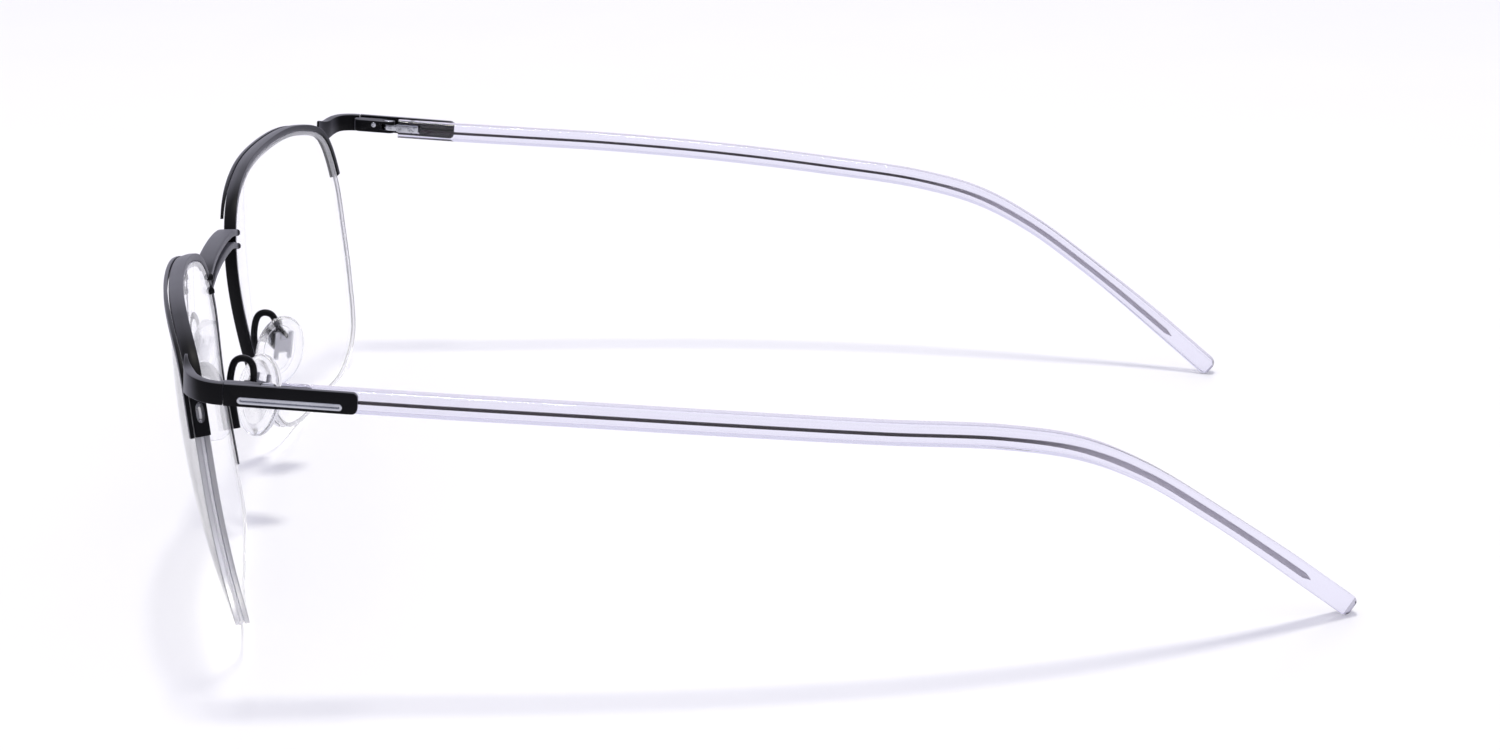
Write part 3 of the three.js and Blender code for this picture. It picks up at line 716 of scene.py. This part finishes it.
def trim_section(i):
    left = min((TRIM_END - i) / 4, 1)
    width = 0.12 + (RIM_THICKNESS - 0.1) * math.sqrt(max(left, 0))
    low, high = 0.55 - width / 2, 0.55 + width / 2
    return rounded([(low, TRIM_BACK), (high, TRIM_BACK), (high, TRIM_BACK + TRIM_DEPTH),
                    (low, TRIM_BACK + TRIM_DEPTH)], 0.14)


trim = follow("front_trim", RIM_START, TRIM_END, trim_section)
soften(trim, 0.1, 2, 60)
smooth(trim, 30)
both_sides(trim, FRONT, black_metal, "brow_trim")

# %% [markdown]
# The nylon cord lies in the groove under the lens. Each end turns out through the eyelet and back
# in, which is how it is held: the lens's own tension keeps it tight. It is a fine round line, so a
# curve with a round bevel is the plainest way to make it.

# %% Cords
CORD_RADIUS = 0.17
CORD_DEEP = -0.21


def cord_end(station):
    turns = [(-0.6, CORD_DEEP), (-0.62, 0.2), (-0.45, 0.85), (0, 1.0), (0.45, 0.85), (0.62, 0.2),
             (0.6, CORD_DEEP)]
    return [edge(station + along * EYELET_SPAN / 2, out, 0) for along, out in turns]


outer_end = OUTER_EYELET + STATIONS
low_run = [edge(i, CORD_DEEP, 0) for i in spread(NOSE_EYELET + 1.4, outer_end - 1.2, 1)]
cord_line = curve_through([*cord_end(NOSE_EYELET), *low_run, *cord_end(outer_end)], steps=8)
cord = wire("nylon_cord", cord_line, CORD_RADIUS, 12)
print("cord length (mm):", round(Path(cord_line).length, 1))
both_sides(cord, FRONT, cord_nylon, "lens_cord")

# %% [markdown]
# Two bars join the rims over the nose. The upper one is a wide flat strip, the lower one is
# narrower, and both are bent upward in the middle. Their ends pass behind the rims, where they are
# soldered, and show there as small rounded stubs.

# %% Bridge bars
STUB_ROUND = 0.5


def bridge(name, end, rise, depth, thickness):
    x, y, z = end
    forward, up = rise
    shares = ((0.94, 0.05, 0.08), (0.72, 0.52, 0.62), (0.36, 0.9, 0.93))
    stub = (x + 0.1, y + 0.5, z - 0.15)
    side = [stub] + [(x * a, y - forward * b, z + up * c) for a, b, c in shares]
    path = Path(curve_through([(-px, py, pz) for px, py, pz in side]
                              + [(0, y - forward, z + up)] + side[::-1]))
    rings = []
    inner = spread(STUB_ROUND, path.length - STUB_ROUND, 0.4)
    tips = [STUB_ROUND * (1 - math.cos(math.radians(angle))) for angle in (12, 30, 50, 70)]
    for distance in [*tips, *inner, *(path.length - tip for tip in reversed(tips))]:
        left = min(distance, path.length - distance, STUB_ROUND) / STUB_ROUND
        size = math.sqrt(1 - (1 - left)**2)
        along = path.along(distance)
        rear = (Vector((0, 1, 0)) - along * along.y).normalized()
        over = along.cross(rear).normalized()
        rings.append([path.at(distance) + rear * a + over * b for a, b in bar_section(
            depth - STUB_ROUND * 1.2 * (1 - size), thickness * size, thickness * 0.3 * size)])
    piece = loft(name, rings)
    smooth(piece, 40)
    return piece


upper = bridge("upper_bridge", end=(12.2, -11.1, 35.4), rise=(0.4, 1.2), depth=2.5, thickness=1.0)
lower = bridge("lower_bridge", end=(11.8, -10.6, 33.5), rise=(0.1, 1.5), depth=1.3, thickness=0.9)
dress(upper, "front", black_metal, ["bridge_upper_bar"])
dress(lower, "front", black_metal, ["bridge_lower_bar"])
print("bridge bars:", len(upper.data.polygons), len(lower.data.polygons), "faces")

# %% [markdown]
# The endpiece starts as a fillet on the rim's outer corner, turns back through a right angle and
# ends against the side plate, with the hinge block behind it. It is milled from one blank, so the
# height of its section shrinks smoothly from the rim to the plate.

# %% Endpieces with their hinge blocks
PLATE_FACE = 1.8
PLATE_HALF = 1.31
PLATE_START = -4.85
PLATE_END = 10.65
BLOCK_TOP = 0.95
BLOCK_LENGTH = 4.6
PIN_RADIUS = 0.45
TONGUE_HALF = 0.45
ARM_THICKNESS = 1.2


def ease(value, low, high):
    t = min(max((value - low) / (high - low), 0), 1)
    return t * t * (3 - 2 * t)


def bezier(points, t):
    a, b, c, d = (Vector(point) for point in points)
    return a * (1 - t)**3 + b * 3 * t * (1 - t)**2 + c * 3 * t * t * (1 - t) + d * t**3


plan = [(-7.3, -10.3, 0), (-2.2, -9.8, 0), (1.2, -8.7, 0), (1.2, PLATE_START - CLEARANCE, 0)]
arm_path = Path([bezier(plan, i / 60) for i in range(61)])
rings = []
for distance in spread(0, arm_path.length, 0.3):
    here, along = arm_path.at(distance), arm_path.along(distance)
    outward = Vector((along.y, -along.x, 0))
    grown, fillet = 1 - ease(distance, 2, 8), 1 - ease(distance, 0, 5)
    top = PLATE_HALF - 0.3 * grown + 0.7 * fillet**2
    bottom = -PLATE_HALF - 0.7 * grown - 1.2 * fillet**2
    outer = ARM_THICKNESS / 2
    inner = outer - ARM_THICKNESS * (0.3 + 0.7 * ease(distance, 0, 4.5))
    section = rounded([(outer, top), (inner, top), (inner, bottom), (outer, bottom)], 0.15)
    rings.append([at_hinge(*(here + outward * a + Vector((0, 0, b)))) for a, b in section])
end_arm = loft("end_arm", rings)
soften(end_arm, 0.1, 2, 60)

hinge_block = stretch_along_y(cylinder("hinge_block", 1.0, -BLOCK_TOP, BLOCK_TOP), BLOCK_LENGTH)
slide(hinge_block, y=-BLOCK_LENGTH)
slot = block("slot", (-3, -1.2, -TONGUE_HALF - CLEARANCE), (3, 3, TONGUE_HALF + CLEARANCE))
seat = cylinder("seat", 0.86, BLOCK_TOP - 0.22, 4)
bore = cylinder("bore", PIN_RADIUS + 0.05, -4, 4)
cut(hinge_block, slot, seat, bore)
soften(hinge_block, 0.07, 2, 40)
carry_to_hinge(hinge_block)
endpiece = join(end_arm, hinge_block)
endpiece.name = "end_block"
smooth(endpiece, 35)
both_sides(endpiece, FRONT, black_metal, "endpiece")

# %% [markdown]
# A round rivet ties the hinge block to the endpiece, and its head shows on the inner side. Screws
# and rivets are turned parts: a cylinder, its rim rounded, with a slot sawn across the head.

# %% Screws, pins and rivets
def screw(name, head, shank, head_from, head_to, shank_from, slot=0.0, slot_depth=0.0):
    """A slotted screw along Z, its head on the upper end."""
    piece = cylinder(name, head, head_from, head_to)
    edge_width = min(0.09, (head_to - head_from) * 0.4)
    soften(piece, edge_width, 3, 40)
    body = cylinder("shank", shank, shank_from, head_from + 0.02, sides=32)
    soften(body, 0.06, 2, 40)
    if slot:
        cut(piece, block("saw", (-slot / 2, -3, head_to - slot_depth), (slot / 2, 3, head_to + 1)))
    return join(piece, body)


FACE_IN = Matrix(((0, 0, -1), (0, 1, 0), (1, 0, 0)))
pin = screw("hinge_screw", head=0.78, shank=PIN_RADIUS, head_from=BLOCK_TOP - 0.18,
            head_to=BLOCK_TOP + 0.08, shank_from=-BLOCK_TOP - 0.12, slot=0.24, slot_depth=0.14)
carry_to_hinge(pin)
smooth(pin, 35)
both_sides(pin, FRONT, polished_steel, "hinge_pin")

rivet = screw("block_rivet", head=0.4, shank=0.15, head_from=0.9, head_to=1.14, shank_from=0.5)
carry(rivet, Matrix.Rotation(-DROOP, 3, "X") @ FACE_IN, at_hinge(0, -2.4, 0.3))
smooth(rivet, 35)
both_sides(rivet, FRONT, polished_steel)

# %% [markdown]
# The tongue swings with the temple: a round eye on the pin, then a flat leaf let into the inner
# side of the clear bar and held by one slotted screw. A parting line is scored behind the eye.

# %% Hinge tongues and their screws
TONGUE_END = 5.05
SCREW_Y = 3.75
tongue = cylinder("hinge_leaf", 0.92, -TONGUE_HALF, TONGUE_HALF)
leaf = block("leaf", (-1.04, 0, -TONGUE_HALF - 0.12), (-0.14, TONGUE_END, TONGUE_HALF + 0.12))
edit(leaf, lambda at: at.y > 1, lambda: bpy.ops.mesh.bevel(
    offset=0.4 * MM, segments=5, affect="EDGES", clamp_overlap=True))
step = block("step", (-3, -2, TONGUE_HALF), (3, 1.35, 2))
step_below = block("step_below", (-3, -2, -2), (3, 1.35, -TONGUE_HALF))
parting_line = block("score", (-2, 1.1, -2), (-0.85, 1.32, 2))
cut(leaf, step, step_below, cylinder("eye_space", 0.9, -3, 3), parting_line)
cut(tongue, cylinder("bore", PIN_RADIUS + 0.03, -4, 4))
tongue = join(tongue, leaf)
soften(tongue, 0.05, 2, 40)
carry_to_hinge(tongue)
smooth(tongue, 35)
both_sides(tongue, TEMPLE, polished_steel, "hinge_tongue")

leaf_screw = screw("leaf_screw", head=0.55, shank=0.34, head_from=1.0, head_to=1.24,
                   shank_from=-0.9, slot=0.17, slot_depth=0.13)
slot_turn = Matrix.Rotation(math.radians(35), 3, "Z")
carry(leaf_screw, Matrix.Rotation(-DROOP, 3, "X") @ FACE_IN @ slot_turn, at_hinge(0, SCREW_Y, 0))
smooth(leaf_screw, 35)
both_sides(leaf_screw, TEMPLE, polished_steel, "tongue_screw")

# %% [markdown]
# Outside each temple a black plate covers the hinge. It starts as a block: the rear corners are
# rounded, a long pocket is sunk into the face, and every edge gets a small radius. The inlay in the
# pocket is a polished bar with a groove down its middle.

# %% Side plates and inlays
INLAY_FRONT = -3.3
INLAY_LENGTH = 12.2
INLAY_RADIUS = 0.43
INLAY_DROP = -0.55


def long_round(name, radius, front, length, low, high, drop):
    """A bar with round ends, lying along the temple and facing outward."""
    piece = stretch_along_y(cylinder(name, radius, low, high, "X"), length - 2 * radius)
    return slide(piece, y=front + radius, z=drop)


side_plate = block("side_plate", (1.1, PLATE_START, -PLATE_HALF),
                   (PLATE_FACE, PLATE_END, PLATE_HALF))
for rear_edge in (1, -1):
    edit(side_plate, lambda at: at.y > PLATE_END - 0.3 and at.z * rear_edge > 1,
         lambda: bpy.ops.mesh.bevel(offset=0.7 * MM, segments=8, affect="EDGES"))
cut(side_plate, long_round("pocket", INLAY_RADIUS + 0.07, INLAY_FRONT - 0.07, INLAY_LENGTH + 0.14,
                           PLATE_FACE - 0.35, PLATE_FACE + 1, INLAY_DROP))
soften(side_plate, 0.09, 3, 40)
carry_to_hinge(side_plate)
smooth(side_plate, 35)
both_sides(side_plate, TEMPLE, black_metal, "sleeve_plate")

inlay = long_round("side_inlay", INLAY_RADIUS, INLAY_FRONT, INLAY_LENGTH,
                   PLATE_FACE - 0.33, PLATE_FACE + 0.05, INLAY_DROP)
cut(inlay, long_round("groove", 0.15, INLAY_FRONT + 0.35, INLAY_LENGTH - 0.7,
                      PLATE_FACE - 0.3, PLATE_FACE + 1, INLAY_DROP + 0.03))
soften(inlay, 0.07, 3, 40)
carry_to_hinge(inlay)
smooth(inlay, 35)
both_sides(inlay, TEMPLE, polished_steel, "sleeve_inlay")

# %% [markdown]
# The temples are clear acetate bars, straight to behind the ear and then bent down and in. The same
# path serves the bar and the wire core inside it, so one function gives a section anywhere along
# it. The tip is nearly square with rounded corners, and its end face gets a darker copy of the
# acetate as painted shade.

# %% Temples
TEMPLE_FRONT = 1.6
TEMPLE_PATH = [
    (0, TEMPLE_FRONT, -0.22), (0, 11, -0.16), (0.2, 22, -0.02), (0.25, 36, 0.17), (-0.5, 54.2, 0.1),
    (-2.5, 72.5, -0.29), (-5.3, 87.5, -0.79), (-7.6, 97.2, -2.29), (-9.9, 106, -5.74),
    (-12.2, 115, -10.94), (-14.9, 124, -16.7), (-19.2, 136.6, -25.3)]
temple_path = Path(curve_through(TEMPLE_PATH))


def along_temple(distance, section):
    here, along = temple_path.at(distance), temple_path.along(distance, 0.6)
    outward = along.cross(Vector((0, 0, 1))).normalized()
    over = outward.cross(along).normalized()
    return [at_hinge(*(here + outward * a + over * b)) for a, b in section]


TEMPLE_WIDE = 2.0
TEMPLE_TALL = 2.82
CORNER = 0.45
TIP_ROUND = 1.25


def temple_tall(distance):
    """The bar is slimmest in the bend behind the ear."""
    return TEMPLE_TALL - 0.4 * ease(distance, 92, 110) + 0.4 * ease(distance, 118, 134)


rings = [along_temple(distance, bar_section(TEMPLE_WIDE, temple_tall(distance), CORNER, 6))
         for distance in spread(0, temple_path.length - TIP_ROUND, 1.2)]
for angle in (15, 30, 45, 58, 69, 78, 85):
    left = math.cos(math.radians(angle))
    rings.append(along_temple(
        temple_path.length - TIP_ROUND + TIP_ROUND * math.sin(math.radians(angle)),
        bar_section(TEMPLE_WIDE * (0.35 + 0.65 * left),
                    temple_tall(temple_path.length) * (0.3 + 0.7 * left),
                    CORNER * left + 0.02, 6)))
temple = loft("clear_temple", rings)
recess = block("recess", (-3, -1, -TONGUE_HALF - 0.2),
               (-0.06, TONGUE_END + CLEARANCE, TONGUE_HALF + 0.2))
carry_to_hinge(recess)
cut(temple, recess)
smooth(temple, 30)
both_sides(temple, TEMPLE, clear_acetate, "temple")
end_from = along_temple(temple_path.length - TIP_ROUND * 0.75, [(0, 0)])[0]
tip_run = (along_temple(temple_path.length, [(0, 0)])[0] - end_from).normalized()
# the tip's end faces get the painted shade material
for side, mirror in (("left", 1), ("right", -1)):
    flip = Vector((mirror, 1, 1))
    shown = bpy.data.objects[f"clear_temple_{side}"].data
    shown.materials.append(painted_shade_end)
    for face in shown.polygons:
        past_end = ((face.center / MM - SHIFT) * flip - end_from).dot(tip_run) > 0
        faces_back = (face.normal * flip).dot(tip_run) > 0.5
        face.material_index = int(past_end and faces_back)

# %% [markdown]
# The core is a flat wire pushed into the warm acetate, with a pointed end. It lets the
# optician bend the temple, and shows as a thin dark line along the middle of the clear bar.

# %% Core wires
CORE_START = TONGUE_END + 0.3 - TEMPLE_FRONT
CORE_END = 135.4
POINT = 1.3


def core_section(height, width=0.5):
    return [(a, b - 0.1) for a, b in bar_section(width, height, min(0.16, height * 0.3), 4)]


def core_tall(distance):
    return 0.4 + 0.34 * ease(distance, 84, 104)


rings = [along_temple(distance, core_section(core_tall(distance)))
         for distance in spread(CORE_START, CORE_END - POINT, 1.5)]
for left, height, width in ((0.7, 0.56, 0.42), (0.35, 0.3, 0.3), (0, 0.06, 0.08)):
    rings.append(along_temple(CORE_END - POINT * left, core_section(height, width)))
core = loft("core_wire", rings)
smooth(core, 40)
both_sides(core, TEMPLE, core_steel, "temple_core")

# %% [markdown]
# The nose pads are silicone moulded round a small metal plate. Each pad has its own axes: across,
# up along its length, and towards the skin. Its shape is an oval that is full on the skin side and
# nearly flat behind, so a sphere is stretched and its back half pressed flat.

# %% Nose pads
pad_up = Vector((-0.2, 0.165, 0.966)).normalized()
pad_skin = Vector((-0.86, 0.5, 0))
pad_skin = (pad_skin - pad_up * pad_skin.dot(pad_up)).normalized()
pad_across = pad_up.cross(pad_skin).normalized()
PAD_AXES = Matrix((pad_across, pad_up, pad_skin)).transposed()
PAD_CENTRE = Vector((9.9, -4.7, 17.9))
STEM = (-0.4, 1.0)
PAD_HALF_WIDTH = 3.7
PAD_HALF_LENGTH = 5.8
PAD_SEAM = -0.1


def skin_side(share):
    """How high the skin side stands, from the middle of the pad to its rim."""
    return 1.3 * math.sqrt(max(1 - share**2.4, 0)) + PAD_SEAM


def back_side(down):
    """How far the back lies below the seam, for a sphere's height from 0 to -1."""
    return PAD_SEAM - 0.8 * (1 - max(1 + down, 0)**3)


def press(piece, change):
    for vertex in piece.data.vertices:
        vertex.co = change(vertex.co / MM) * MM


bpy.ops.mesh.primitive_uv_sphere_add(segments=64, ring_count=32, radius=MM)
pad = settle(bpy.context.object, "soft_pad")
press(pad, lambda at: Vector((
    at.x * PAD_HALF_WIDTH, at.y * PAD_HALF_LENGTH,
    skin_side(math.hypot(at.x, at.y)) if at.z > 0 else back_side(at.z))))
hollow = cylinder("hollow", 1, -1.3, -0.72, sides=64)
press(hollow, lambda at: Vector((at.x * 2.2, at.y * 4.0, at.z)))
cut(pad, hollow)
soften(pad, 0.12, 2, 40)
carry(pad, PAD_AXES, PAD_CENTRE)
smooth(pad, 40)
both_sides(pad, PAD, pad_silicone, "nose_pad")

# %% [markdown]
# Inside the silicone is an H-shaped steel plate with a square stem behind it, which the screw of
# the pad box passes through. The box itself is a folded cup on the end of the pad arm.

# %% Pad plates, boxes and screws
SCREW_BACK = -2.2


def carry_to_stem(piece):
    slide(piece, x=STEM[0], y=STEM[1])
    return carry(piece, PAD_AXES, PAD_CENTRE)


plate = block("pad_plate", (-1.3, -2.2, -0.5), (1.3, 2.2, -0.12))
notches = [block("notch", (-0.65, low, -2), (0.65, high, 2))
           for low, high in ((-3, -1.1), (1.1, 3))]
cut(plate, *notches)
soften(plate, 0.1, 2, 40)
stem = block("stem", (-0.53, -0.88, -2.6), (0.53, 0.88, -0.3))
soften(stem, 0.12, 2, 40)
plate = join(plate, stem)
carry_to_stem(plate)
smooth(plate, 35)
both_sides(plate, PAD, pad_plate_steel, "pad_insert")

cup = block("pad_cup", (-1.08, -1.1, -3.3), (1.08, 1.1, -1.5))
cut(cup, block("space", (-0.62, -3, -2.85), (0.62, 3, 3)))
soften(cup, 0.16, 3, 40)
carry_to_stem(cup)
smooth(cup, 35)
both_sides(cup, FRONT, black_metal, "pad_box")

pad_screw = screw("pad_bolt", head=0.5, shank=0.28, head_from=1.12, head_to=1.34,
                  shank_from=-1.1, slot=0.16, slot_depth=0.12)
pad_screw.matrix_world = Matrix(((0, 0, 1), (0, 1, 0), (-1, 0, 0))).to_4x4()
settle(pad_screw, "pad_bolt")
slide(pad_screw, z=SCREW_BACK)
carry_to_stem(pad_screw)
smooth(pad_screw, 35)
both_sides(pad_screw, FRONT, polished_steel, "pad_screw")

# %% [markdown]
# The pad arms are one-millimetre wire, soldered up the back of the rim, bent over in a loop and
# brought down onto the box, so that an optician can move each pad by opening or closing the loop.

# %% Pad arms
ARM_RADIUS = 0.5


def solder(height):
    return edge(rising(height, 3 * QUARTER, 2 * QUARTER), 0.55, -RIM_HALF - ARM_RADIUS - CLEARANCE)


low, middle, high = (solder(height) for height in (13.9, 16.5, 19.5))
box_top = PAD_CENTRE + PAD_AXES @ Vector((STEM[0], STEM[1] + 1.1, SCREW_BACK - 0.3))
LOOP_RADIUS = 1.4
LOOP_HEIGHT = 22.2
loop_centre = Vector((high.x - 0.4, high.y + 0.5 + LOOP_RADIUS, LOOP_HEIGHT))
loop = [loop_centre + Vector((0, LOOP_RADIUS * math.cos(angle), LOOP_RADIUS * math.sin(angle)))
        for angle in map(math.radians, (165, 127, 90, 52, 15))]
arm = wire("pad_wire", curve_through(
    [low, middle, high, *loop, box_top + pad_up * 0.5, box_top], steps=12), ARM_RADIUS, 20)
both_sides(arm, FRONT, black_metal, "pad_arm")

# %% [markdown]
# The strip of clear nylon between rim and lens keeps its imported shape, which is already right:
# only its finish is new.

# %% Rim liners
for side in ("left", "right"):
    liner = frame["nodes"][f"rim_liner_{side}"]
    liner.data.materials.clear()
    liner.data.materials.append(cord_nylon)
print("liners finished")

# %% [markdown]
# The table is a plain glossy white top. It is far larger than the view, so its edges never show.

# %% Table
recipe = Recipe("white_table")
flecks = recipe.noise(30, 2)
table_top = recipe.finish(
    Base_Color=recipe.tint(flecks, (0.86, 0.86, 0.875), (0.88, 0.88, 0.89)),
    Roughness=0.28 + flecks * 0.06, IOR=1.45)
bpy.ops.mesh.primitive_plane_add(size=12, location=(0, 0, 0))
table = settle(bpy.context.object, "table_top")
table.data.materials.append(table_top)
print("table", [round(side, 2) for side in table.dimensions])

# %% [markdown]
# The light is a white room: one soft lamp overhead and pale walls. The lamp is small and slightly
# warm and the walls are slightly blue, so shadows are narrow and lavender. The walls are darker
# low down on the wearer's left, which gives the black plates and the steel something to show.

# %% Light
world = bpy.data.worlds.new("white_room")
bpy.context.scene.world = world
world.use_nodes = True
nodes, links = world.node_tree.nodes, world.node_tree.links
nodes.clear()
place = nodes.new("ShaderNodeTexCoord")
split = nodes.new("ShaderNodeSeparateXYZ")
links.new(place.outputs["Generated"], split.inputs[0])
lift = nodes.new("ShaderNodeMapRange")
lift.inputs["From Min"].default_value = 0.0
lift.inputs["From Max"].default_value = 0.75
links.new(split.outputs["Z"], lift.inputs["Value"])
far_side = nodes.new("ShaderNodeMapRange")
far_side.inputs["From Min"].default_value = 0.35
far_side.inputs["From Max"].default_value = -0.5
links.new(split.outputs["X"], far_side.inputs["Value"])
brightest = nodes.new("ShaderNodeMath")
brightest.operation = "MAXIMUM"
links.new(lift.outputs[0], brightest.inputs[0])
links.new(far_side.outputs[0], brightest.inputs[1])
wall = nodes.new("ShaderNodeValToRGB")
wall.color_ramp.elements[0].color = (0.16, 0.155, 0.18, 1)
wall.color_ramp.elements[1].color = (0.89, 0.88, 1.0, 1)
links.new(brightest.outputs[0], wall.inputs["Fac"])
shade = nodes.new("ShaderNodeBackground")
shade.inputs["Strength"].default_value = 0.97
links.new(wall.outputs["Color"], shade.inputs["Color"])
surround = nodes.new("ShaderNodeOutputWorld")
links.new(shade.outputs[0], surround.inputs["Surface"])


LAMP_COLOUR = (1.0, 0.985, 0.88)


def soft_box(name, place, target, size, power):
    data = bpy.data.lights.new(name, "AREA")
    data.shape = "SQUARE"
    data.size = size
    data.energy = power
    data.color = LAMP_COLOUR
    lamp = bpy.data.objects.new(name, data)
    lamp.location = place
    lamp.rotation_euler = (Vector(target) - Vector(place)).to_track_quat("-Z", "Y").to_euler()
    bpy.context.collection.objects.link(lamp)


soft_box("overhead_box", place=(-0.08, -0.02, 1.1), target=(0, -0.02, 0), size=0.17, power=5.6)
bpy.context.scene.view_settings.view_transform = "Standard"
print("room and soft box ready")
